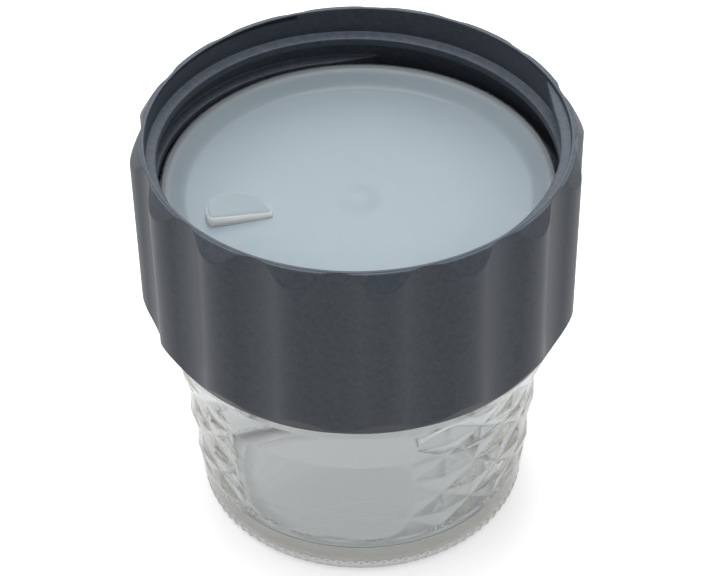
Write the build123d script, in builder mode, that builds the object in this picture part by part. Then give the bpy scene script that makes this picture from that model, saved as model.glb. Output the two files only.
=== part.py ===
from build123d import *

import os
from math import acos, cos, degrees, radians, sin, sqrt, tan

os.makedirs("parts", exist_ok=True)

# A small pressed-glass jar with a double-ended screw collar. The collar screws down on the jar,
# traps a flat gasket between its inner shelf and the mouth of the glass, and carries a loose
# divider disc on the shelf. Its upper half is an empty socket for the thread of a second jar.
# Millimetres, +Z up, origin on the axis at the face that the jar stands on.

# Glass jar. Its neck leads: the radii step out and in from the neck, and the neck, the bead and
# the shoulder hang from the mouth.
jar_height = 59.3
neck_radius = 33.6
neck_length = 14.2
neck_wall = 3.3
lip_rounding = 1.1
mouth_depth = 14.0
bead_reach = 1.0
bead_top_slope = 1.5
bead_width = 4.1
bead_rounding = 1.3
shoulder_step = 2.7
shoulder_length = 10.9
side_taper = 2.7
heel_height = 4.2
heel_step = 0.9
heel_wall = 3.8
foot_ring_width = 5.8
foot_rounding = 1.6
push_up = 1.6
floor_height = 4.6
floor_rounding = 1.0

# Screw thread shared by the jar and both sockets of the collar, right-handed
thread_pitch = 5.08
jar_ridge_height = 1.33
jar_thread_crest = 0.9
jar_thread_flank = 30.0
jar_thread_drop = 10.7
jar_thread_turns = 1.5
thread_engagement = 0.73
upper_ridge_height = 1.8
lower_ridge_height = 1.2
collar_thread_crest = 1.4
collar_thread_flank = 13.0
thread_play = 0.12
thread_bite = 0.3
run_out_bite = 0.05

# Sealing gasket
gasket_inset = 0.3
gasket_width = 3.4
gasket_thickness = 1.0

# Screw collar
lower_socket_depth = 19.8
shelf_thickness = 1.6
upper_socket_depth = 14.3
shelf_bore_clearance = 0.3
mouth_chamfer = 0.15
lobe_count = 16
lobe_height_bottom = 1.5
lobe_height_top = 2.05
lobe_phase = -61.6
valley_wall_bottom = 1.1
valley_wall_top = 0.6
rim_lip = 1.0
rim_slope = 0.56
skirt_lip = 0.7
skirt_slope = 0.56
upper_thread_turns = 1.8367
upper_thread_top_angle = 385.0
upper_thread_margin = 0.755
lower_thread_lead = 70.0
lower_thread_turns = 1.7

# Divider disc
disc_clearance = 0.15
disc_rim_slant = 0.9
disc_rim_width = 3.45
disc_panel_thickness = 1.6
disc_panel_depth = 2.2
disc_panel_sag = 1.7
disc_edge_rounding = 0.5
nub_radius = 3.4
nub_height = 0.5
nub_rounding = 0.4
tab_azimuth = 198.1
tab_inner_radius = 15.1
tab_length = 11.8
tab_depth = 7.1
tab_height_outer = 2.05
tab_height_inner = 1.35
tab_rounding = 0.4

# One overrun for every cut that has to pass a face
overrun = 2.0

# The jar's outline, worked out from its neck and its mouth
bead_radius = neck_radius + bead_reach
side_top_radius = bead_radius - shoulder_step
heel_radius = side_top_radius - side_taper
foot_radius = heel_radius - heel_step
foot_ring_inner = foot_radius - foot_ring_width
floor_corner_radius = heel_radius - heel_wall
mouth_radius = neck_radius - neck_wall
neck_foot = jar_height - neck_length
bead_high = neck_foot - bead_top_slope
bead_low = bead_high - bead_width
side_top_height = bead_low - shoulder_length

# The thread's radii, and the sockets and walls round them
jar_thread_radius = neck_radius + jar_ridge_height
jar_thread_low = jar_height - jar_thread_drop
collar_thread_radius = jar_thread_radius - thread_engagement
upper_socket_radius = collar_thread_radius + upper_ridge_height
lower_socket_radius = collar_thread_radius + lower_ridge_height
valley_radius_top = upper_socket_radius + valley_wall_top
valley_radius_bottom = lower_socket_radius + valley_wall_bottom
rim_radius = upper_socket_radius + rim_lip
skirt_radius = lower_socket_radius + skirt_lip

# Radii of the gasket and the disc, which fit the mouth and the thread's crest
gasket_inner = mouth_radius + gasket_inset
disc_radius = collar_thread_radius - disc_clearance
disc_panel_radius = disc_radius - disc_rim_width
shelf_bore_radius = disc_panel_radius + shelf_bore_clearance

# Heights worked out from the stack: glass, gasket, shelf, disc
shelf_underside = jar_height + gasket_thickness
shelf_top = shelf_underside + shelf_thickness
collar_bottom = shelf_underside - lower_socket_depth
collar_top = shelf_top + upper_socket_depth
collar_height = collar_top - collar_bottom
panel_edge_top = shelf_top + disc_panel_thickness
disc_rim_top = panel_edge_top + disc_panel_depth


def half_width(crest, flank, height):
    """Half the axial width of a thread ridge, at a height below its crest."""
    return crest / 2 + height * tan(radians(flank))


# The collar's ridge sits under the jar's ridge, as it does when the joint is screwed tight
engagement = jar_thread_radius - collar_thread_radius
thread_offset = (
    half_width(jar_thread_crest, jar_thread_flank, engagement)
    + collar_thread_crest / 2
    + thread_play
)
lower_thread_low = jar_thread_low - thread_offset - thread_pitch * lower_thread_lead / 360


def rings(piece, radius):
    """The circular edges of a piece that have this radius."""
    circles = piece.edges().filter_by(GeomType.CIRCLE)
    return circles.filter_by(lambda edge: abs(edge.radius - radius) < run_out_bite)


def turned(angle, height=0):
    """The XY plane at a height, turned about the Z axis so that its X axis has that azimuth."""
    direction = (cos(radians(angle)), sin(radians(angle)), 0)
    return Plane(origin=(0, 0, height), x_dir=direction, z_dir=(0, 0, 1))


def thread_ridge(wall, crest, crest_width, flank, turns):
    """A helical ridge that starts on the X axis at height 0 and fades out at both ends.

    A crest inside the wall radius makes the ridge of a socket, and one outside it the ridge of a
    neck. Each end is cut by a plane almost tangent to the smaller of the two radii.
    """
    inward = crest < wall
    root = wall + (thread_bite if inward else -thread_bite)
    height = abs(root - crest)
    at_root = half_width(crest_width, flank, height)
    at_crest = crest_width / 2
    small = min(wall, crest)
    large = max(wall, crest)
    fade = degrees(acos(small / large))
    cut_plane = small - run_out_bite
    reach = large + overrun
    span = 360 * turns
    with BuildPart() as ridge:
        with BuildLine() as path:
            Helix(thread_pitch, thread_pitch * turns, wall)
        with BuildSketch(Plane.XZ):
            with BuildLine():
                Polyline((root, -at_root), (crest, -at_crest), (crest, at_crest), (root, at_root), close=True)
            make_face()
        sweep(path=path.line, is_frenet=True)
        for end, side in ((0, 1), (span, -1)):
            # side is the way round, seen from above, that leads from this end into the ridge
            middle = thread_pitch * end / 360
            low = middle - thread_pitch / 2
            if inward:
                frame = turned(end + side * fade, low)
                corners = ((0, 0), (cut_plane, -side * reach))
            else:
                frame = turned(end, low)
                corners = ((cut_plane, -side * overrun), (reach, side * large * sin(radians(fade))))
            (x0, y0), (x1, y1) = corners
            with BuildSketch(frame):
                with BuildLine():
                    Polyline((x0, y0), (x1, y0), (x1, y1), (x0, y1), close=True)
                make_face()
            extrude(amount=thread_pitch, mode=Mode.SUBTRACT)
    return ridge.part


# Glass jar: the pressed body, turned about the axis, with its thread
jar_ridge = thread_ridge(
    neck_radius, jar_thread_radius, jar_thread_crest, jar_thread_flank, jar_thread_turns
)

with BuildPart() as glass_jar:
    with BuildSketch(Plane.XZ):
        with BuildLine():
            Polyline(
                (0, push_up),
                (foot_ring_inner, 0),
                (foot_radius, 0),
                (heel_radius, heel_height),
                (side_top_radius, side_top_height),
                (bead_radius, bead_low),
                (bead_radius, bead_high),
                (neck_radius, neck_foot),
                (neck_radius, jar_height),
                (0, jar_height),
                close=True,
            )
        make_face()
    revolve(axis=Axis.Z)
    fillet(rings(glass_jar, bead_radius), bead_rounding)
    fillet(rings(glass_jar, foot_radius), foot_rounding)
    with BuildSketch(Plane.XZ):
        with BuildLine():
            Polyline(
                (0, floor_height),
                (floor_corner_radius, floor_height),
                (mouth_radius, jar_height - mouth_depth),
                (mouth_radius, jar_height + overrun),
                (0, jar_height + overrun),
                close=True,
            )
        make_face()
        corner = vertices().group_by(Axis.Y)[0].sort_by(Axis.X)[-1]
        fillet(corner, floor_rounding)
    revolve(axis=Axis.Z, mode=Mode.SUBTRACT)
    lip_edges = glass_jar.edges().filter_by(GeomType.CIRCLE).group_by(Axis.Z)[-1]
    fillet(lip_edges, lip_rounding)
    with Locations((0, 0, jar_thread_low)):
        add(jar_ridge)
glass_jar.part.label = "glass_jar"

# Sealing gasket: a flat ring on the mouth of the glass
with BuildPart() as sealing_gasket:
    with BuildSketch(Plane.XY.offset(jar_height)):
        Circle(gasket_inner + gasket_width)
        Circle(gasket_inner, mode=Mode.SUBTRACT)
    extrude(amount=gasket_thickness)
sealing_gasket.part.label = "sealing_gasket"

# Screw collar: a lobed ring with a shelf inside and a threaded socket at each end
upper_ridge = thread_ridge(
    upper_socket_radius,
    collar_thread_radius,
    collar_thread_crest,
    collar_thread_flank,
    upper_thread_turns,
)
lower_ridge = thread_ridge(
    lower_socket_radius,
    collar_thread_radius,
    collar_thread_crest,
    collar_thread_flank,
    lower_thread_turns,
)
upper_thread_half_width = half_width(collar_thread_crest, collar_thread_flank, upper_ridge_height)
upper_thread_high = collar_top - upper_thread_half_width - upper_thread_margin
upper_thread_low = upper_thread_high - thread_pitch * upper_thread_turns
upper_thread_angle = upper_thread_top_angle - 360 * upper_thread_turns
lobe_step = 360 / lobe_count


def wavy_outline(valley, lobe_height):
    """A closed wavy ring on the current sketch plane, centred on the axis.

    An outward arc runs over each grip lobe and an inward arc through the valley after it. They
    meet halfway up the lobe.
    """
    crest = valley + lobe_height
    flank = (valley + crest) / 2
    quarter = lobe_step / 4
    for lobe in range(lobe_count):
        lobe_middle = lobe_phase + lobe * lobe_step
        for middle, peak in ((lobe_middle, crest), (lobe_middle + lobe_step / 2, valley)):
            points = []
            for azimuth, radius in ((middle - quarter, flank), (middle, peak), (middle + quarter, flank)):
                points.append((radius * cos(radians(azimuth)), radius * sin(radians(azimuth))))
            ThreePointArc(*points)


with BuildPart() as screw_collar:
    for height, valley, lobe_height in (
        (collar_bottom, valley_radius_bottom, lobe_height_bottom),
        (collar_top, valley_radius_top, lobe_height_top),
    ):
        with BuildSketch(Plane.XY.offset(height)):
            with BuildLine():
                wavy_outline(valley, lobe_height)
            make_face()
    loft(ruled=True)
    # A cone at the skirt and one at the rim take the lobes down to the wall
    for bottom_radius, top_radius in (
        (skirt_radius, skirt_radius + skirt_slope * collar_height),
        (rim_radius + rim_slope * collar_height, rim_radius),
    ):
        with BuildSketch(Plane.XZ):
            with BuildLine():
                Polyline(
                    (0, collar_bottom),
                    (bottom_radius, collar_bottom),
                    (top_radius, collar_top),
                    (0, collar_top),
                    close=True,
                )
            make_face()
        revolve(axis=Axis.Z, mode=Mode.INTERSECT)
    with BuildSketch(Plane.XZ):
        with BuildLine():
            Polyline(
                (0, collar_bottom - overrun),
                (lower_socket_radius + mouth_chamfer, collar_bottom - overrun),
                (lower_socket_radius + mouth_chamfer, collar_bottom),
                (lower_socket_radius, collar_bottom + mouth_chamfer),
                (lower_socket_radius, shelf_underside),
                (shelf_bore_radius, shelf_underside),
                (shelf_bore_radius, shelf_top),
                (upper_socket_radius, shelf_top),
                (upper_socket_radius, collar_top - mouth_chamfer),
                (upper_socket_radius + mouth_chamfer, collar_top),
                (upper_socket_radius + mouth_chamfer, collar_top + overrun),
                (0, collar_top + overrun),
                close=True,
            )
        make_face()
    revolve(axis=Axis.Z, mode=Mode.SUBTRACT)
    with Locations(Location((0, 0, upper_thread_low), (0, 0, upper_thread_angle))):
        add(upper_ridge)
    with Locations(Location((0, 0, lower_thread_low), (0, 0, -lower_thread_lead))):
        add(lower_ridge)
screw_collar.part.label = "screw_collar"

# Divider disc: a raised rim round a panel that sags towards its middle


sag_sphere = (disc_panel_radius**2 + disc_panel_sag**2) / (2 * disc_panel_sag)


def panel_top(radius):
    """Height of the panel's upper face, part of a sphere, at a distance from the axis."""
    return panel_edge_top - disc_panel_sag + sag_sphere - sqrt(sag_sphere**2 - radius**2)


tab_outer_radius = tab_inner_radius + tab_length
tab_middle = tab_inner_radius + tab_length / 2
tab_foot = panel_top(tab_middle) - disc_panel_thickness / 2
tab_frame = turned(tab_azimuth)
tab_side = Plane(origin=(0, 0, 0), x_dir=tab_frame.x_dir, z_dir=-tab_frame.y_dir)

with BuildPart() as lift_tab:
    with BuildSketch(tab_side):
        with BuildLine():
            Polyline(
                (tab_inner_radius, tab_foot),
                (tab_outer_radius, tab_foot),
                (tab_outer_radius, panel_top(tab_outer_radius) + tab_height_outer),
                (tab_inner_radius, panel_top(tab_inner_radius) + tab_height_inner),
                close=True,
            )
        make_face()
    extrude(amount=tab_depth)
    with BuildSketch(turned(tab_azimuth, tab_foot)):
        with BuildLine():
            shoulder = tab_length / 2 - tab_depth
            Polyline(
                (tab_inner_radius, shoulder),
                (tab_inner_radius, 0),
                (tab_outer_radius, 0),
                (tab_outer_radius, shoulder),
            )
            ThreePointArc((tab_outer_radius, shoulder), (tab_middle, -tab_depth), (tab_inner_radius, shoulder))
        make_face()
    extrude(amount=disc_panel_thickness + disc_panel_depth, mode=Mode.INTERSECT)
    fillet(lift_tab.faces().sort_by(Axis.Z)[-1].edges(), tab_rounding)

with BuildPart() as divider_disc:
    with BuildSketch(Plane.XZ):
        with BuildLine():
            half_way = disc_panel_radius / 2
            ThreePointArc(
                (0, panel_top(0)),
                (half_way, panel_top(half_way)),
                (disc_panel_radius, panel_edge_top),
            )
            Polyline(
                (disc_panel_radius, panel_edge_top),
                (disc_panel_radius + disc_rim_slant, disc_rim_top),
                (disc_radius, disc_rim_top),
                (disc_radius, shelf_top),
                (disc_panel_radius, shelf_top),
            )
            ThreePointArc(
                (disc_panel_radius, shelf_top),
                (half_way, panel_top(half_way) - disc_panel_thickness),
                (0, panel_top(0) - disc_panel_thickness),
            )
            Line((0, panel_top(0) - disc_panel_thickness), (0, panel_top(0)))
        make_face()
    revolve(axis=Axis.Z)
    fillet(rings(divider_disc, disc_radius), disc_edge_rounding)
    with BuildSketch(Plane.XY.offset(panel_top(0) - disc_panel_thickness / 2)):
        Circle(nub_radius)
    extrude(amount=disc_panel_thickness / 2 + nub_height)
    fillet(rings(divider_disc, nub_radius).sort_by(Axis.Z)[-1], nub_rounding)
    add(lift_tab.part)
divider_disc.part.label = "divider_disc"

export_step(glass_jar.part, "parts/glass_jar.step")
export_step(sealing_gasket.part, "parts/sealing_gasket.step")
export_step(screw_collar.part, "parts/screw_collar.step")
export_step(divider_disc.part, "parts/divider_disc.step")
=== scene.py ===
import math

import bmesh
import bpy
import numpy as np
from mathutils import Matrix, Vector


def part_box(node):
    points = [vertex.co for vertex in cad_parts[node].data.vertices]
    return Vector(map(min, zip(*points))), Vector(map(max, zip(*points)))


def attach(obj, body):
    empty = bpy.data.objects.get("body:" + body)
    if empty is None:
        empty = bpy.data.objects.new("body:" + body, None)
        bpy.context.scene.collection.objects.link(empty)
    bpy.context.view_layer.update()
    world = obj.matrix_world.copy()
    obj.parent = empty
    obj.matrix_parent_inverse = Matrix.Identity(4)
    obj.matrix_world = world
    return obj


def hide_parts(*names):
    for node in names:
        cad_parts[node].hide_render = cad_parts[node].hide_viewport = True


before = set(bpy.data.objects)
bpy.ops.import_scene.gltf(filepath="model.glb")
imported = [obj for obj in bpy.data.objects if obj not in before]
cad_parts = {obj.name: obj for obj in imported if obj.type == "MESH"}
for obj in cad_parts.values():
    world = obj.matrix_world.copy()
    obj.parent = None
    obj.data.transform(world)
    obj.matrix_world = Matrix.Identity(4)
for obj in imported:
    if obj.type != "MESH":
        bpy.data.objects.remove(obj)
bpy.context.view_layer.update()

# Everything below is written in millimetres and degrees, and turned into metres when a mesh is made
MM = 0.001
TURN = 360.0

# Heights that the frame gives: the mouth of the glass, the gasket and the collar
jar_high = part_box("glass_jar")[1].z / MM
gasket_low, gasket_high = (corner.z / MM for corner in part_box("sealing_gasket"))
collar_low, collar_high = (corner.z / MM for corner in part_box("screw_collar"))

# The screw thread, as on the frame: one start, right-handed
thread_pitch = 5.08
collar_crest_radius = 34.2
collar_crest_width = 1.4
collar_flank = 13.0
jar_crest_radius = 34.93
jar_crest_width = 0.9
jar_flank = 30.0
tip_bite = 0.05
ridge_rounding = 0.14

# Points nearer than this become one
weld = 0.0005

# Counts of rows: near a corner and between two, on a small fillet, and across a thread's root
near_rows = 5
middle_rows = 5
fillet_rows = 5
root_rows = 6

# Columns of the rings that have no thread, the disc and the gasket
plain_columns = 360

# Turns of the helix beyond a threaded wall, and the angle in which a ridge rises at its ends
spare_turns = 2
end_fade = 1.0


def smooth_step(value, low, high):
    """0 below low, 1 above high, and a smooth rise in between."""
    share = np.clip((value - low) / (high - low), 0, 1)
    return share * share * (3 - 2 * share)


def smooth_max(a, b, rounding):
    """The larger of two values, with the corner where they cross rounded."""
    return (a + b) / 2 + np.sqrt((a - b) ** 2 + rounding**2) / 2


def smooth_min(a, b, rounding):
    """The smaller of two values, with the corner where they cross rounded."""
    return -smooth_max(-a, -b, rounding)


def arc(r_centre, z_centre, radius, start, end, count):
    """Points (r, z) on an arc from one angle to another, both ends included."""
    angles = np.radians(np.linspace(start, end, count))
    return [(r_centre + radius * math.cos(a), z_centre + radius * math.sin(a)) for a in angles]


def line(start, end, count):
    """Points (r, z) on a line from start to end, without the end."""
    return [
        (start[0] + (end[0] - start[0]) * k / count, start[1] + (end[1] - start[1]) * k / count)
        for k in range(count)
    ]


def rounded_path(corners, reach, passes):
    """Rows of points along a path, closer together near its corners, which are then rounded.

    A corner is a pair (radius, height), or a pair of such arrays with one value for each column.
    """
    rows = []
    for a, b in zip(corners[:-1], corners[1:]):
        length = np.hypot(*(b - a))
        share = np.minimum(reach / np.maximum(length, reach), 0.5)
        for k in range(near_rows):
            rows.append(a + (b - a) * share * k / near_rows)
        for k in range(middle_rows):
            rows.append(a + (b - a) * (share + (1 - 2 * share) * k / middle_rows))
        for k in range(near_rows):
            rows.append(b - (b - a) * share * (1 - k / near_rows))
    rows.append(corners[-1])
    rows = np.array(rows)
    for _ in range(passes):
        rows[1:-1] = (rows[:-2] + 2 * rows[1:-1] + rows[2:]) / 4
    return rows


class Ring:
    """Points on rings round the Z axis, in bands that are joined and welded into one mesh."""

    def __init__(self, azimuths):
        self.azimuths = azimuths
        self.columns = len(azimuths)
        self.points = []
        self.faces = []
        self.count = 0

    def band(self, radius, height, lift=0):
        """Adds a grid of rows by columns. Across the seam, a row joins the one lift rows above it."""
        rows = len(radius)
        angles = np.radians(self.azimuths)
        grid = np.stack([radius * np.cos(angles), radius * np.sin(angles), height], axis=-1)
        self.points.append(grid.reshape(-1, 3))
        index = self.count + np.arange(rows * self.columns).reshape(rows, self.columns)
        self.count += rows * self.columns
        inner = np.stack([index[:-1, :-1], index[:-1, 1:], index[1:, 1:], index[1:, :-1]], axis=-1)
        self.faces.append(inner.reshape(-1, 4))
        last, first = index[: rows - lift, -1], index[lift:, 0]
        self.faces.append(np.stack([last[:-1], first[:-1], first[1:], last[1:]], axis=-1))

    def turned(self, profile):
        """Adds a band with the same profile of (r, z) points in every column."""
        points = np.array(profile, float)
        radius = np.repeat(points[:, :1], self.columns, axis=1)
        height = np.repeat(points[:, 1:], self.columns, axis=1)
        self.band(radius, height)

    def mesh(self, name):
        """The mesh, with points that coincide welded and faces without area dropped."""
        points = np.concatenate(self.points) * MM
        faces = np.concatenate(self.faces)
        grid = np.round(points / (weld * MM)).astype(np.int64)
        _, first, same = np.unique(grid, axis=0, return_index=True, return_inverse=True)
        faces = same.reshape(-1)[faces]
        kept = []
        for face in faces.tolist():
            corners = [c for k, c in enumerate(face) if c != face[k - 1]]
            if len(corners) > 2 and len(set(corners)) == len(corners):
                kept.append(corners)
        made = bpy.data.meshes.new(name)
        made.from_pydata(points[first].tolist(), [], kept)
        made.validate()
        made.update()
        return made


def threaded_wall(azimuths, wall, crest, crest_width, flank, start, span, low, high, steps):
    """Radius and height of a socket's or a neck's wall with a helical ridge, between two heights.

    start is the azimuth and the height of the ridge's middle line at its low end, and span the
    angle that it goes through. The rows of the grid follow the helix, so that the ridge's edges
    lie along them, and are cut off level at the two heights. steps is the number of rows over
    each flank. Returns the radius, the height and the number of rows in one pitch.
    """
    start_azimuth, start_height = start
    side = 1 if crest > wall else -1
    full = abs(crest - wall)
    half_crest = crest_width / 2
    half_root = half_crest + full * math.tan(math.radians(flank))
    # Offsets from the ridge's middle line over one pitch, closer together across the flanks
    near = np.linspace(half_crest - ridge_rounding, half_root + ridge_rounding, steps)
    between = np.linspace(near[-1], thread_pitch - near[-1], root_rows)[1:-1]
    offsets = np.sort(np.concatenate([-near, near, between]))
    below = math.ceil((start_height - low) / thread_pitch) + spare_turns
    above = math.ceil((high - start_height) / thread_pitch) + spare_turns
    rows = []
    for turn in range(-below, above):
        middle = start_height + thread_pitch * ((azimuths - start_azimuth) / TURN + turn)
        rows += [middle + offset for offset in offsets]
    height = np.clip(np.array(rows), low, high)

    # The turn of the helix that is nearest to each point, and how far above it the point lies
    turns = (height - start_height) / thread_pitch - (azimuths - start_azimuth) / TURN
    nearest = np.round(turns)
    above_middle = np.abs(turns - nearest) * thread_pitch
    angle = azimuths - start_azimuth + TURN * nearest

    # Near each end a plane cuts the ridge off, almost along the smaller of the two radii
    small = min(wall, crest)
    fade = math.degrees(math.acos(small / max(wall, crest)))
    to_end = np.minimum(angle, span - angle)
    tip = np.clip(fade - to_end, 0, fade) if side < 0 else np.clip(to_end, 0, fade)
    plane = (small - tip_bite) / np.cos(np.radians(tip))
    reach = np.clip(side * (plane - wall), 0, full) * (to_end > 0)
    ramp = (half_root - above_middle) / math.tan(math.radians(flank))
    ridge = smooth_max(smooth_min(ramp, reach, ridge_rounding), 0, ridge_rounding / 2)
    ridge = ridge * (1 - smooth_step(above_middle, half_root, half_root + 2 * ridge_rounding))
    ridge = ridge * smooth_step(to_end, 0, end_fade)
    return wall + side * ridge, height, len(offsets)


def piece(name, mesh, material, body, slot, *nodes):
    """One visible piece: an object that stands for CAD nodes and rides on a body; its slot is not used."""
    made = bpy.data.objects.new(name, mesh)
    bpy.context.scene.collection.objects.link(made)
    mesh.materials.append(material)
    mesh.shade_smooth()
    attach(made, body)
    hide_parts(*nodes)


# Screw collar

# Lobes: how many, the azimuth of one, columns of the mesh in each, and their heights at the skirt
# and at the rim
lobe_count = 16
lobe_phase = -61.6
lobe_step = TURN / lobe_count
lobe_columns = 40
lobe_height_low = 1.5
lobe_height_high = 2.05

# Walls between the lobes, radii of the two sockets, and the cones that cut the lobes at both ends
valley_wall_low = 1.1
valley_wall_high = 0.6
upper_wall = 36.0
lower_wall = 35.4
rim_lip = 1.0
rim_slope = 0.56
skirt_lip = 0.7
skirt_slope = 0.56
cone_blend = 0.35

# Lip on the rim, the chamfers at both mouths, and the rounding of the outer corners
lip_width = 0.55
lip_step = 0.1
mouth_chamfer = 0.15
corner_reach = 0.5
corner_passes = 6

# Shelf between the sockets
shelf_bore = 30.9
shelf_thickness = 1.6
shelf_fillet = 0.35

# Threads: where each starts, with its drop below the rim or below the mouth of the glass, and its
# angle from end to end
upper_thread_azimuth = -276.2
upper_thread_drop = 11.199
upper_thread_span = 661.2
upper_flank_rows = 9
lower_thread_azimuth = -70.0
lower_thread_drop = 13.379
lower_thread_span = 612.0
lower_flank_rows = 6


def wavy(local, valley, lobe_height):
    """Radius of the wavy outline: an outward arc over each lobe and an inward arc in each valley."""
    quarter = math.radians(lobe_step / 4)
    crest = valley + lobe_height
    flank = valley + lobe_height / 2
    chord = flank * math.cos(quarter)
    lobe_centre = (crest**2 - flank**2) / (2 * (crest - chord))
    valley_centre = (flank**2 - valley**2) / (2 * (chord - valley))
    from_lobe = np.radians(np.clip(np.abs(local), 0, lobe_step / 4))
    from_valley = np.radians(lobe_step / 2 - np.clip(np.abs(local), lobe_step / 4, None))
    outward = np.sqrt((crest - lobe_centre) ** 2 - (lobe_centre * np.sin(from_lobe)) ** 2)
    inward = np.sqrt((valley_centre - valley) ** 2 - (valley_centre * np.sin(from_valley)) ** 2)
    lobe = lobe_centre * np.cos(from_lobe) + outward
    groove = valley_centre * np.cos(from_valley) - inward
    return np.where(np.abs(local) < lobe_step / 4, lobe, groove)


def make_collar():
    local = (np.arange(lobe_columns) / lobe_columns - 0.5) * lobe_step
    middles = lobe_phase + np.arange(lobe_count)[:, None] * lobe_step
    azimuths = (middles + local[None, :]).reshape(-1)
    local = np.tile(local, lobe_count)
    ring = Ring(azimuths)

    # The wavy wall between its two outlines, cut by one cone at the skirt and one at the rim
    wave_low = wavy(local, lower_wall + valley_wall_low, lobe_height_low)
    wave_high = wavy(local, upper_wall + valley_wall_high, lobe_height_high)
    growth = (wave_high - wave_low) / (collar_high - collar_low)
    skirt = smooth_min(wave_low, lower_wall + skirt_lip, cone_blend)
    rim = smooth_min(wave_high, upper_wall + rim_lip, cone_blend)
    skirt_rise = (wave_low - skirt) / (skirt_slope - growth)
    rim_drop = (wave_high - rim) / (rim_slope + growth)

    def level(radius, height):
        return np.stack([radius + np.zeros(ring.columns), height + np.zeros(ring.columns)])

    step_radius = upper_wall + lip_width
    rows = rounded_path(
        [
            level(lower_wall + mouth_chamfer, collar_low),
            level(skirt, collar_low),
            level(wave_low + growth * skirt_rise, collar_low + skirt_rise),
            level(wave_high - growth * rim_drop, collar_high - rim_drop),
            level(rim, collar_high - lip_step),
            level(step_radius + lip_step / 2, collar_high - lip_step),
            level(step_radius, collar_high),
            level(upper_wall + mouth_chamfer / 2, collar_high),
            level(upper_wall, collar_high - mouth_chamfer),
        ],
        corner_reach,
        corner_passes,
    )
    ring.band(rows[:, 0], rows[:, 1])

    # Upper socket, shelf and lower socket
    shelf_top = gasket_high + shelf_thickness
    radius, height, lift = threaded_wall(
        azimuths, upper_wall, collar_crest_radius, collar_crest_width, collar_flank,
        (upper_thread_azimuth, collar_high - upper_thread_drop), upper_thread_span,
        shelf_top + shelf_fillet, collar_high - mouth_chamfer, upper_flank_rows,
    )
    ring.band(radius, height, lift)
    bore = shelf_bore + shelf_fillet
    profile = arc(upper_wall - shelf_fillet, shelf_top + shelf_fillet, shelf_fillet, 0, -90, fillet_rows)
    profile += arc(bore, shelf_top - shelf_fillet, shelf_fillet, 90, 180, fillet_rows)
    profile += arc(bore, gasket_high + shelf_fillet, shelf_fillet, 180, 270, fillet_rows)
    profile += arc(lower_wall - shelf_fillet, gasket_high - shelf_fillet, shelf_fillet, 90, 0, fillet_rows)
    ring.turned(profile)
    radius, height, lift = threaded_wall(
        azimuths, lower_wall, collar_crest_radius, collar_crest_width, collar_flank,
        (lower_thread_azimuth, jar_high - lower_thread_drop), lower_thread_span,
        collar_low + mouth_chamfer, gasket_high - shelf_fillet, lower_flank_rows,
    )
    ring.band(radius, height, lift)
    ring.turned([(lower_wall, collar_low + mouth_chamfer), (lower_wall + mouth_chamfer, collar_low)])
    return ring.mesh("screw_collar")


# Glass jar

# Neck, lip and bore
neck_radius = 33.6
neck_wall = 3.3
neck_length = 14.2
lip_rounding = 1.1
mouth_depth = 14.0

# Bead under the collar, with a small step at its foot. bead_sink is a share of bead_rounding
bead_radius = 34.6
bead_top_slope = 1.5
bead_width = 4.1
bead_rounding = 1.1
bead_foot_drop = 2.0
bead_step = 0.35
bead_side = 1.5
bead_sink = 0.3
bead_passes = 3
bead_rows = 9

# Side, heel and foot
side_top_radius = 31.9
shoulder_length = 10.9
heel_radius = 29.2
heel_height = 4.2
foot_radius = 28.3
foot_rounding = 1.6
foot_ring_inner = 22.5
push_up = 1.6

# Floor inside
floor_height = 4.6
floor_corner = 25.4
floor_rounding = 1.0

# Thread on the neck
jar_thread_drop = 10.7
jar_thread_span = 540.0
jar_thread_gap = 0.3
jar_flank_rows = 6

# Dots round the heel: how many, their height, the levels of their wave between which one rises,
# and the heights over which they begin and end
heel_dots = 90
dot_height = 0.3
dot_edges = (-0.3, 0.8)
dot_foot = (1.1, 1.7)
dot_top = (2.4, 2.9)

# Quilted relief: diamonds round the jar, columns of the mesh in each and rows in half of each, and
# the place of the star, one crossing of the grooves
diamonds_round = 15
diamond_columns = 48
diamond_rows = 24
diamond_half_height = 4.65
star_azimuth = -63.0
star_drop = 41.2
relief_height = 0.65
groove_rounding = 0.04

# Where the relief begins and ends, and the least gap from the side's rows to the bead
relief_low = 8.4
relief_low_fade = 1.0
relief_high_drop = 23.5
relief_high_fade = 1.5
side_gap = 0.6

# Plain panel on the side: its azimuths, its drops below the mouth and its soft edge
panel_left = -136.0
panel_right = -74.0
panel_low_drop = 50.0
panel_high_drop = 15.0
panel_squareness = 6
panel_fade = (0.97, 1.03)

# Rows of the jar's underside, its foot, its lip and its inside
push_up_rows = 14
foot_rows = 4
rounding_rows = 19
lip_rows = 8
wall_rows = 30
corner_rows = 16
floor_rows = 12


def pyramids(azimuth, height):
    """A quilt of four-sided pyramids, 1 at their tips and 0 in the grooves between them."""
    across = (azimuth - star_azimuth) / (TURN / diamonds_round / 2)
    up = (height - (jar_high - star_drop)) / diamond_half_height
    one = np.abs((across + up) / 2 % 1 - 0.5) * 2
    other = np.abs((across - up) / 2 % 1 - 0.5) * 2
    return 1 - smooth_max(one, other, groove_rounding)


def panel_share(azimuth, height):
    """1 on the plain panel of the side, 0 away from it."""
    middle = (panel_left + panel_right) / 2
    across = np.abs((azimuth - middle + TURN / 2) % TURN - TURN / 2) / ((panel_right - panel_left) / 2)
    low, high = jar_high - panel_low_drop, jar_high - panel_high_drop
    up = np.abs(height - (low + high) / 2) / ((high - low) / 2)
    power = panel_squareness
    return 1 - smooth_step((across**power + up**power) ** (1 / power), *panel_fade)


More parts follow.
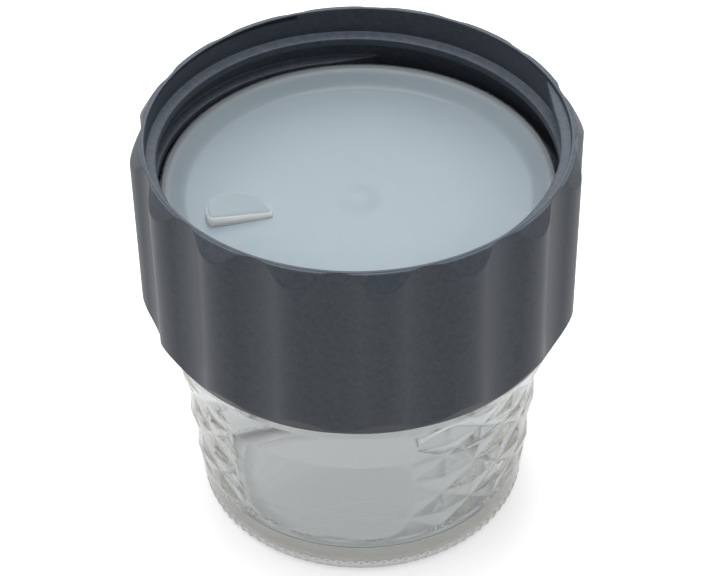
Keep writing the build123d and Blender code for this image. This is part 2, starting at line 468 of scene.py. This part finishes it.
def make_jar():
    columns = diamonds_round * diamond_columns
    azimuths = star_azimuth + np.arange(columns) * TURN / columns
    ring = Ring(azimuths)
    neck_foot = jar_high - neck_length
    bead_high = neck_foot - bead_top_slope
    bead_low = bead_high - bead_width
    side_top = bead_low - shoulder_length

    # Underside: the push-up and the ring that the jar stands on
    ring.turned(
        line((0.0, push_up), (foot_ring_inner, 0.0), push_up_rows)
        + line((foot_ring_inner, 0.0), (foot_radius - foot_rounding, 0.0), foot_rows)
        + [(foot_radius - foot_rounding, 0.0)]
    )

    # Foot rounding, with the lower ends of the heel's dots
    lean = math.degrees(math.atan2(heel_radius - foot_radius, heel_height))
    centre = foot_radius - foot_rounding * (1 - math.tan(math.radians(lean / 2)))
    waves = np.cos(np.radians((azimuths - star_azimuth) * heel_dots))
    dots = dot_height * smooth_step(waves, *dot_edges)
    rows = []
    for share in np.linspace(0, 1, rounding_rows):
        angle = math.radians(-90 + (90 - lean) * share)
        level = foot_rounding * (1 + math.sin(angle))
        radius = foot_rounding + dots * smooth_step(level, *dot_foot)
        rows.append((centre + radius * math.cos(angle), foot_rounding + radius * math.sin(angle)))
    rows = np.array(rows)
    ring.band(rows[:, 0], rows[:, 1])
    foot_end_radius, foot_end = rows[-1, 0].mean(), rows[-1, 1].mean()

    # Side and shoulder with the relief, on rows that divide each diamond evenly
    step = diamond_half_height / diamond_rows
    star_height = jar_high - star_drop
    below = math.floor((star_height - foot_end) / step)
    bead_foot = bead_low - bead_foot_drop
    above = math.floor((bead_foot - side_gap - star_height) / step)
    heights = np.concatenate([[foot_end], star_height + np.arange(1 - below, above + 1) * step])
    plain = np.interp(
        heights,
        [foot_end, heel_height, side_top, bead_foot],
        [foot_end_radius, heel_radius, side_top_radius, bead_radius - bead_step],
    )
    azimuth, height = np.meshgrid(azimuths, heights)
    relief_high = jar_high - relief_high_drop
    share = smooth_step(height, relief_low, relief_low + relief_low_fade)
    share = share * (1 - smooth_step(height, relief_high, relief_high + relief_high_fade))
    share = share * (1 - panel_share(azimuth, height))
    side = plain[:, None] + relief_height * (pyramids(azimuth, height) - 0.5) * share
    side = side + dots * (1 - smooth_step(height, *dot_top))
    ring.band(side, height)

    # Bead and shoulder of the neck, then the thread
    rows = rounded_path(
        [
            np.stack([side[-1], height[-1]]),
            np.stack([np.full(columns, bead_radius - bead_step), np.full(columns, bead_foot)]),
            np.stack([np.full(columns, bead_radius), np.full(columns, bead_foot + bead_step)]),
            np.stack([np.full(columns, bead_radius), np.full(columns, bead_low + bead_side)]),
        ],
        bead_step / 2,
        bead_passes,
    )
    ring.band(rows[:, 0], rows[:, 1])
    slope = math.degrees(math.atan2(bead_radius - neck_radius, bead_top_slope))
    ring.turned(
        [(bead_radius, bead_low + bead_side)]
        + arc(
            bead_radius - bead_rounding, bead_high - bead_rounding * bead_sink,
            bead_rounding, 0, 90 - slope, bead_rows,
        )
        + [(neck_radius, neck_foot + jar_thread_gap)]
    )
    radius, height, lift = threaded_wall(
        azimuths, neck_radius, jar_crest_radius, jar_crest_width, jar_flank,
        (0.0, jar_high - jar_thread_drop), jar_thread_span,
        neck_foot + jar_thread_gap, jar_high - lip_rounding, jar_flank_rows,
    )
    ring.band(radius, height, lift)

    # Lip, bore, inner wall and floor
    mouth = neck_radius - neck_wall
    bore_end = jar_high - mouth_depth
    lean = math.atan2(mouth - floor_corner, bore_end - floor_height)
    turn_centre = floor_corner - floor_rounding * (1 - math.sin(lean)) / math.cos(lean)
    wall_foot = (
        turn_centre + floor_rounding * math.cos(lean),
        floor_height + floor_rounding * (1 - math.sin(lean)),
    )
    ring.turned(
        arc(neck_radius - lip_rounding, jar_high - lip_rounding, lip_rounding, 0, 90, lip_rows)
        + arc(mouth + lip_rounding, jar_high - lip_rounding, lip_rounding, 90, 180, lip_rows)
        + line((mouth, bore_end), wall_foot, wall_rows)
        + arc(
            turn_centre, floor_height + floor_rounding, floor_rounding,
            -math.degrees(lean), -90, corner_rows,
        )
        + line((turn_centre, floor_height), (0.0, floor_height), floor_rows)[1:]
        + [(0.0, floor_height)]
    )
    return ring.mesh("glass_jar")


# Divider disc

disc_radius = 34.05
disc_rim_slant = 0.9
disc_panel_radius = 30.6
disc_panel_thickness = 1.6
disc_panel_depth = 2.2
disc_panel_sag = 1.7
disc_edge_rounding = 0.5

# Rows of its nub, its panel, the step up to its rim, its underside and each rounding of its edge
disc_nub_rows = 26
disc_panel_rows = 30
disc_step_rows = 34
disc_under_rows = 24
disc_edge_rows = 7

# Nub in the middle, and the softness of the step
nub_radius = 3.4
nub_top = 0.6
nub_height = 0.55
nub_softness = 1.1
step_softness = 2.4

# Lift tab: its place and size, the rounding of its edge, how far its top is drawn in, and how far
# the foot of its straight side stands out
tab_azimuth = 198.1
tab_inner_radius = 15.1
tab_length = 11.8
tab_depth = 7.1
tab_height_outer = 2.05
tab_height_inner = 1.35
tab_edge = 0.6
tab_draft = 0.5
tab_lean = 0.6
tab_arc_points = 28
tab_edge_rows = 5
tab_edge_profile = 0.5

shelf_top = gasket_high + shelf_thickness
panel_edge_top = shelf_top + disc_panel_thickness
sag_sphere = (disc_panel_radius**2 + disc_panel_sag**2) / (2 * disc_panel_sag)


def panel_top(radius):
    """Height of the panel's upper face, part of a sphere, at a distance from the axis."""
    return panel_edge_top - disc_panel_sag + sag_sphere - np.sqrt(sag_sphere**2 - radius**2)


def make_disc():
    ring = Ring(np.arange(plain_columns) * TURN / plain_columns)
    rim_top = panel_edge_top + disc_panel_depth
    crown = disc_panel_radius + disc_rim_slant
    nub_foot = nub_radius + 2 * nub_softness
    step_foot = disc_panel_radius - 2 * step_softness
    # Upper face: the nub, the sagging panel and the step up to the rim, all with soft edges
    radius = np.concatenate(
        [
            np.linspace(0, nub_foot, disc_nub_rows),
            np.linspace(nub_foot, step_foot, disc_panel_rows)[1:],
            np.linspace(step_foot, crown + step_softness, disc_step_rows)[1:],
        ]
    )
    panel = panel_top(np.minimum(radius, disc_panel_radius))
    nub = nub_height * (1 - smooth_step(radius, nub_top, nub_radius + nub_softness))
    rise = smooth_step(radius, disc_panel_radius - step_softness / 2, crown + step_softness / 2)
    top = panel + nub + (rim_top - panel) * rise
    edge = disc_radius - disc_edge_rounding
    lower = np.linspace(disc_panel_radius, 0, disc_under_rows)
    ring.turned(
        list(zip(radius, top))
        + arc(edge, rim_top - disc_edge_rounding, disc_edge_rounding, 90, 0, disc_edge_rows)
        + arc(edge, shelf_top + disc_edge_rounding, disc_edge_rounding, 0, -90, disc_edge_rows)
        + [(r, panel_top(r) - disc_panel_thickness) for r in lower]
    )
    return ring.mesh("disc_sheet")


def make_tab():
    """The D-shaped lift tab: one straight edge along the radius, the rest round, the top sloped."""
    half = tab_length / 2
    middle = tab_inner_radius + half
    shoulder = half - tab_depth
    outline = [(tab_inner_radius, 0.0), (tab_inner_radius + tab_length, 0.0)]
    for k in range(tab_arc_points + 1):
        angle = math.pi * k / tab_arc_points
        outline.append((middle + half * math.cos(angle), shoulder - half * math.sin(angle)))
    mesh = bmesh.new()
    turn = Matrix.Rotation(math.radians(tab_azimuth), 3, "Z")
    low, high = [], []
    for u, v in outline:
        share = (u - tab_inner_radius) / tab_length
        foot = float(panel_top(u)) - disc_panel_thickness / 2
        top = float(panel_top(u)) + tab_height_inner + (tab_height_outer - tab_height_inner) * share
        out_u, out_v = u - middle, v - shoulder / 2
        inward = 1 - tab_draft / math.hypot(out_u, out_v)
        lean = tab_lean if v == 0 else 0
        low.append(mesh.verts.new(turn @ Vector((u, v + lean, foot)) * MM))
        top_point = Vector((middle + out_u * inward, shoulder / 2 + out_v * inward, top))
        high.append(mesh.verts.new(turn @ top_point * MM))
    count = len(outline)
    upper = mesh.faces.new(high[::-1])
    mesh.faces.new(low)
    for k in range(count):
        mesh.faces.new([low[k], high[k], high[(k + 1) % count], low[(k + 1) % count]][::-1])
    bmesh.ops.recalc_face_normals(mesh, faces=mesh.faces)
    corners = [e for e in mesh.edges if e in upper.edges]
    straight = [k for k in (0, 1) for e in high[k].link_edges if e.other_vert(high[k]) is low[k]]
    upright = [e for k in straight for e in high[k].link_edges if e.other_vert(high[k]) is low[k]]
    bmesh.ops.bevel(
        mesh, geom=corners + upright, offset=tab_edge * MM, segments=tab_edge_rows,
        profile=tab_edge_profile, affect="EDGES", clamp_overlap=True,
    )
    made = bpy.data.meshes.new("disc_tab")
    mesh.to_mesh(made)
    mesh.free()
    return made


# Sealing gasket

gasket_inner = 30.6
gasket_outer = 34.0
gasket_rounding = 0.2


def make_gasket():
    ring = Ring(np.arange(plain_columns) * TURN / plain_columns)
    rounding = gasket_rounding
    outer, inner = gasket_outer - rounding, gasket_inner + rounding
    profile = arc(outer, gasket_high - rounding, rounding, 0, 90, fillet_rows)
    profile += arc(inner, gasket_high - rounding, rounding, 90, 180, fillet_rows)
    profile += arc(inner, gasket_low + rounding, rounding, 180, 270, fillet_rows)
    profile += arc(outer, gasket_low + rounding, rounding, 270, 360, fillet_rows)
    ring.turned(profile + profile[:1])
    return ring.mesh("gasket_ring")


# Materials: scales of noise are in cells to a metre, and depths of bumps in metres

noise_range = (0.3, 0.7)
silicone_ior = 1.41
plastic_colours = ((0.026, 0.034, 0.046), (0.048, 0.055, 0.068))
rubber_colours = ((0.70, 0.71, 0.70), (0.74, 0.75, 0.74))

# Z of the normal, from faces that keep their tone to the lightest and the darkest ones: upward faces get
# painted light from above, and the skirt's downward faces get painted shade
up_facing = (0.35, 0.97)
painted_top_light = 1.95
down_facing = (-0.5, -0.15)
painted_under_shade = 0.5

# The glass: how uneven it is at shares of the jar's height, and the normals of its frosted underside
uneven_shares = (
    (0.0, (0, 0, 0)),
    (1.0, (0, 0, 0)),
    (0.16, (0, 0, 0)),
    (0.24, (1, 1, 1)),
    (0.5, (1, 1, 1)),
    (0.6, (0, 0, 0)),
)
frosted_facing = (-0.9, -0.6)
frost_roughness = 0.35
glass_tint = (0.885, 0.875, 0.82, 1)
glass_tint_density = 42.0

# Colours of the divider disc at shares of its radius, the two ends first. The bluish tone is the
# silicone's own; the darker ring over the shelf and the dark edge are painted shade
disc_colours_and_shade = (
    (0.0, (0.325, 0.395, 0.435)),
    (1.0, (0.17, 0.175, 0.18)),
    (0.45, (0.325, 0.395, 0.44)),
    (0.66, (0.298, 0.366, 0.41)),
    (0.84, (0.272, 0.332, 0.372)),
    (0.91, (0.262, 0.314, 0.35)),
    (0.96, (0.228, 0.262, 0.288)),
)

# Colours of the lift tab by Z of the normal: its sides, its top and the edge between them. The top has the
# silicone's own colour; the near-white sides are painted light, and the lighter edge is a painted
# highlight
tab_colours_and_light = (
    (0.48, (1.0, 0.96, 0.95)),
    (0.98, (0.31, 0.375, 0.41)),
    (0.62, (0.46, 0.52, 0.55)),
)


def new_material(name):
    """A material, its node tree and its shader."""
    made = bpy.data.materials.new(name)
    made.use_nodes = True
    return made, made.node_tree, made.node_tree.nodes["Principled BSDF"]


def node(tree, kind, **inputs):
    """A shader node with the named inputs set."""
    made = tree.nodes.new(kind)
    for name, value in inputs.items():
        made.inputs[name.replace("_", " ")].default_value = value
    return made


def operation(tree, kind, name):
    """A maths node that does the named operation."""
    made = tree.nodes.new(kind)
    made.operation = name
    return made


def noise(tree, scale, detail, roughness=0.5):
    """Noise over the object's own coordinates."""
    place = tree.nodes.new("ShaderNodeTexCoord")
    texture = node(tree, "ShaderNodeTexNoise", Scale=scale, Detail=detail, Roughness=roughness)
    tree.links.new(place.outputs["Object"], texture.inputs["Vector"])
    return texture.outputs["Fac"]


def z_part(tree, kind):
    """The Z part of the object's own place or normal."""
    place = tree.nodes.new("ShaderNodeTexCoord")
    parts = tree.nodes.new("ShaderNodeSeparateXYZ")
    tree.links.new(place.outputs[kind], parts.inputs["Vector"])
    return parts.outputs["Z"]


def mapped(tree, source, start, end):
    """A node that moves a value from the range start to the range end, and holds it there."""
    made = node(
        tree, "ShaderNodeMapRange", From_Min=start[0], From_Max=start[1], To_Min=end[0], To_Max=end[1]
    )
    tree.links.new(source, made.inputs["Value"])
    return made


def colour_ramp(tree, source, stops):
    """A colour ramp fed by a value. Its stops are pairs of a share and a colour."""
    ramp = tree.nodes.new("ShaderNodeValToRGB")
    elements = ramp.color_ramp.elements
    for k, (share, colour) in enumerate(stops):
        stop = elements[k] if k < 2 else elements.new(share)
        stop.position = share
        stop.color = (*colour, 1)
    tree.links.new(source, ramp.inputs["Fac"])
    return ramp


def spread(tree, source, socket, low, high):
    """Feeds a noise into a socket, from the value low to the value high."""
    ramp = mapped(tree, source, noise_range, (low, high))
    tree.links.new(ramp.outputs["Result"], socket)


def bumped(tree, shader, source, strength, distance):
    """Gives the shader a bump from a noise."""
    bump = node(tree, "ShaderNodeBump", Strength=strength, Distance=distance)
    tree.links.new(source, bump.inputs["Height"])
    tree.links.new(bump.outputs["Normal"], shader.inputs["Normal"])


def make_plastic():
    made, tree, shader = new_material("collar_plastic")
    shader.inputs["Specular IOR Level"].default_value = 0.3
    mottle = noise(tree, scale=900, detail=5, roughness=0.7)
    colour = colour_ramp(tree, mottle, zip(noise_range, plastic_colours))
    # Upward faces are painted lighter, as painted light from above, and the skirt's undersides darker, as
    # painted shade
    facing = z_part(tree, "Normal")
    top_light_share = mapped(tree, facing, up_facing, (1.0, painted_top_light))
    under_shade_share = mapped(tree, facing, down_facing, (painted_under_shade, 1.0))
    factor = operation(tree, "ShaderNodeMath", "MULTIPLY")
    for k, one in enumerate((top_light_share, under_shade_share)):
        one.interpolation_type = "SMOOTHSTEP"
        tree.links.new(one.outputs["Result"], factor.inputs[k])
    scaled = operation(tree, "ShaderNodeVectorMath", "SCALE")
    tree.links.new(colour.outputs["Color"], scaled.inputs[0])
    tree.links.new(factor.outputs[0], scaled.inputs["Scale"])
    tree.links.new(scaled.outputs[0], shader.inputs["Base Color"])
    spread(tree, mottle, shader.inputs["Roughness"], low=0.42, high=0.5)
    grain = noise(tree, scale=2400, detail=3, roughness=0.6)
    bumped(tree, shader, grain, strength=0.35, distance=0.00006)
    return made


def make_silicone():
    made, tree, shader = new_material("disc_silicone")
    shader.inputs["IOR"].default_value = silicone_ior
    shader.inputs["Subsurface Weight"].default_value = 0.4
    shader.inputs["Subsurface Radius"].default_value = (0.8, 1.0, 1.2)
    shader.inputs["Subsurface Scale"].default_value = 0.002
    place = tree.nodes.new("ShaderNodeTexCoord")
    flat = node(tree, "ShaderNodeMapping", Scale=(1, 1, 0))
    distance = operation(tree, "ShaderNodeVectorMath", "LENGTH")
    tree.links.new(place.outputs["Object"], flat.inputs["Vector"])
    tree.links.new(flat.outputs["Vector"], distance.inputs[0])
    # The outer ring and the edge are painted darker by radius: painted shade over the shelf
    outward = mapped(tree, distance.outputs["Value"], (0, disc_radius * MM), (0, 1))
    ramp = colour_ramp(tree, outward.outputs["Result"], disc_colours_and_shade)
    ramp.color_ramp.interpolation = "B_SPLINE"
    tree.links.new(ramp.outputs["Color"], shader.inputs["Base Color"])
    spread(tree, noise(tree, scale=500, detail=3), shader.inputs["Roughness"], low=0.34, high=0.46)
    bumped(tree, shader, noise(tree, scale=900, detail=3), strength=0.1, distance=0.00005)
    return made


def make_tab_silicone():
    made, tree, shader = new_material("tab_silicone")
    shader.inputs["IOR"].default_value = silicone_ior
    shader.inputs["Roughness"].default_value = 0.4
    shader.inputs["Subsurface Weight"].default_value = 1.0
    shader.inputs["Subsurface Radius"].default_value = (1.0, 1.0, 1.0)
    shader.inputs["Subsurface Scale"].default_value = 0.003
    # Sides painted near white as painted light, and the edge lighter as a painted highlight
    ramp = colour_ramp(tree, z_part(tree, "Normal"), tab_colours_and_light)
    tree.links.new(ramp.outputs["Color"], shader.inputs["Base Color"])
    return made


def make_rubber():
    made, tree, shader = new_material("gasket_silicone")
    colour = colour_ramp(tree, noise(tree, scale=300, detail=2), zip(noise_range, rubber_colours))
    tree.links.new(colour.outputs["Color"], shader.inputs["Base Color"])
    shader.inputs["Roughness"].default_value = 0.55
    return made


def make_glass():
    made, tree, shader = new_material("clear_glass")
    shader.inputs["Base Color"].default_value = (0.90, 0.93, 0.945, 1)
    shader.inputs["Roughness"].default_value = 0.0
    shader.inputs["IOR"].default_value = 1.5
    shader.inputs["Transmission Weight"].default_value = 1.0
    # The pressed side is a little uneven, and the underside is frosted
    upward = mapped(tree, z_part(tree, "Object"), (0, jar_high * MM), (0, 1))
    uneven = colour_ramp(tree, upward.outputs["Result"], uneven_shares)
    waves = operation(tree, "ShaderNodeMath", "MULTIPLY")
    tree.links.new(noise(tree, scale=90, detail=2), waves.inputs[0])
    tree.links.new(uneven.outputs["Color"], waves.inputs[1])
    bumped(tree, shader, waves.outputs[0], strength=0.2, distance=0.0003)
    frost = mapped(tree, z_part(tree, "Normal"), frosted_facing, (frost_roughness, 0.0))
    tree.links.new(frost.outputs["Result"], shader.inputs["Roughness"])
    tint = node(tree, "ShaderNodeVolumeAbsorption", Color=glass_tint, Density=glass_tint_density)
    tree.links.new(tint.outputs["Volume"], tree.nodes["Material Output"].inputs["Volume"])
    return made


piece("collar_shell", make_collar(), make_plastic(), "collar", "collar_plastic", "screw_collar")
piece("jar_glass", make_jar(), make_glass(), "jar", "clear_glass", "glass_jar")
piece("disc_sheet", make_disc(), make_silicone(), "disc", "disc_silicone", "divider_disc")
piece("disc_tab", make_tab(), make_tab_silicone(), "disc", "disc_silicone", "divider_disc")
piece("gasket_ring", make_gasket(), make_rubber(), "seal", "gasket_silicone", "sealing_gasket")


# Stage: a white floor, which shows as white and keeps the object's shadow. Lengths are in metres

floor_reach = 3.0
floor_colour = 0.85
floor_in_glass = 0.62
floor_roughness = 0.9
glow_gloss = 0.3
glow_under = 0.405
glow_reach = (0.020, 0.026)
glow_shown = 0.5
white = (1, 1, 1, 1)
world_plain = 0.36
world_gloss = 0.85
world_glass = 0.7
world_shown = 1.0
opening_side = (0.0, -0.5, 0.866)
opening_edge = (0.82, 0.95)
opening_strength = 0.25
lamp_target = (0.0, 0.0, 0.05)

# Name, place, size and power in watts
lamps = (
    ("top_box", (-0.05, 0.08, 0.93), 0.8, 6.8),
    ("back_box", (0.0, 0.95, 0.75), 0.7, 3.0),
    ("left_box", (-0.8, -0.2, 0.35), 0.6, 1.2),
    ("right_box", (0.8, -0.2, 0.35), 0.6, 1.0),
)


def by_ray(tree, output, plain, in_gloss, in_glass, shown):
    """Joins four shaders: one for each kind of ray that meets them, and plain for all others."""
    path = tree.nodes.new("ShaderNodeLightPath")
    last = plain
    for kind, shader in (("Glossy", in_gloss), ("Transmission", in_glass), ("Camera", shown)):
        mix = tree.nodes.new("ShaderNodeMixShader")
        tree.links.new(path.outputs["Is " + kind + " Ray"], mix.inputs["Fac"])
        tree.links.new(last.outputs[0], mix.inputs[1])
        tree.links.new(shader.outputs[0], mix.inputs[2])
        last = mix
    tree.links.new(last.outputs[0], output.inputs["Surface"])


def make_floor():
    side = floor_reach
    corners = [(-side, -side, 0), (side, -side, 0), (side, side, 0), (-side, side, 0)]
    mesh = bpy.data.meshes.new("floor")
    mesh.from_pydata(corners, [], [(0, 1, 2, 3)])
    made = bpy.data.objects.new("floor", mesh)
    bpy.context.scene.collection.objects.link(made)
    paper, tree, shader = new_material("paper")
    in_glass = tree.nodes.new("ShaderNodeBsdfPrincipled")
    for one, colour in ((shader, floor_colour), (in_glass, floor_in_glass)):
        one.inputs["Base Color"].default_value = (colour, colour, colour, 1)
        one.inputs["Roughness"].default_value = floor_roughness
        one.inputs["Specular IOR Level"].default_value = 0.0
    # Through the glass, only the paper under the jar glows
    place = tree.nodes.new("ShaderNodeTexCoord")
    outward = operation(tree, "ShaderNodeVectorMath", "LENGTH")
    tree.links.new(place.outputs["Object"], outward.inputs[0])
    under = mapped(tree, outward.outputs["Value"], glow_reach, (glow_under, 0.0))
    glowing = []
    for base, strength in ((shader, glow_gloss), (in_glass, glow_under), (shader, glow_shown)):
        glow = node(tree, "ShaderNodeEmission", Strength=strength)
        if base is in_glass:
            tree.links.new(under.outputs["Result"], glow.inputs["Strength"])
        both = tree.nodes.new("ShaderNodeAddShader")
        tree.links.new(base.outputs[0], both.inputs[0])
        tree.links.new(glow.outputs[0], both.inputs[1])
        glowing.append(both)
    by_ray(tree, tree.nodes["Material Output"], shader, *glowing)
    mesh.materials.append(paper)


def make_world():
    world = bpy.data.worlds.new("studio")
    bpy.context.scene.world = world
    world.use_nodes = True
    tree = world.node_tree
    plain = tree.nodes["Background"]
    plain.inputs["Color"].default_value = white
    plain.inputs["Strength"].default_value = world_plain
    shown = node(tree, "ShaderNodeBackground", Color=white, Strength=world_shown)
    # In gloss and glass the white tent has a soft dark opening, high up at the front
    place = tree.nodes.new("ShaderNodeTexCoord")
    along = operation(tree, "ShaderNodeVectorMath", "DOT_PRODUCT")
    along.inputs[1].default_value = opening_side
    tree.links.new(place.outputs["Generated"], along.inputs[0])
    tents = []
    for strength in (world_gloss, world_glass):
        tent = node(tree, "ShaderNodeBackground", Color=white)
        fade = mapped(tree, along.outputs["Value"], opening_edge, (strength, opening_strength))
        fade.interpolation_type = "SMOOTHSTEP"
        tree.links.new(fade.outputs["Result"], tent.inputs["Strength"])
        tents.append(tent)
    by_ray(tree, tree.nodes["World Output"], plain, *tents, shown)


def make_lamp(name, place, size, power):
    """A square area lamp that points at the object and isn't seen through its glass."""
    data = bpy.data.lights.new(name, "AREA")
    data.size = size
    data.energy = power
    made = bpy.data.objects.new(name, data)
    bpy.context.scene.collection.objects.link(made)
    made.location = place
    made.rotation_mode = "QUATERNION"
    made.rotation_quaternion = (Vector(lamp_target) - Vector(place)).to_track_quat("-Z", "Y")
    made.visible_transmission = False


make_floor()
make_world()
for lamp in lamps:
    make_lamp(*lamp)


# Camera, fitted to the photograph

camera_distance = 0.54157
camera_elevation = math.radians(40.4913)
camera_roll = math.radians(-0.8345)
camera_target_drop = 34.37
camera_sensor = 36.0
camera_lens = 154.24
camera_near = 0.01
camera_far = 20.0

camera_target = Vector((0.0, 0.0, (collar_high - camera_target_drop) * MM))
camera_data = bpy.data.cameras.new("camera")
camera_data.sensor_width = camera_sensor
camera_data.lens = camera_lens
camera_data.clip_start = camera_near
camera_data.clip_end = camera_far
camera = bpy.data.objects.new("camera", camera_data)
bpy.context.scene.collection.objects.link(camera)
backward = Vector((0, -math.cos(camera_elevation), math.sin(camera_elevation)))
camera.rotation_mode = "QUATERNION"
camera.location = camera_target + backward * camera_distance
look = (-backward).to_track_quat("-Z", "Y")
camera.rotation_quaternion = look @ Matrix.Rotation(camera_roll, 3, "Z").to_quaternion()
bpy.context.scene.camera = camera

bpy.context.scene.view_settings.view_transform = "Standard"
bpy.context.scene.cycles.use_denoising = True
bpy.context.scene.cycles.max_bounces = 24
bpy.context.scene.cycles.transmission_bounces = 20
bpy.context.scene.cycles.glossy_bounces = 12
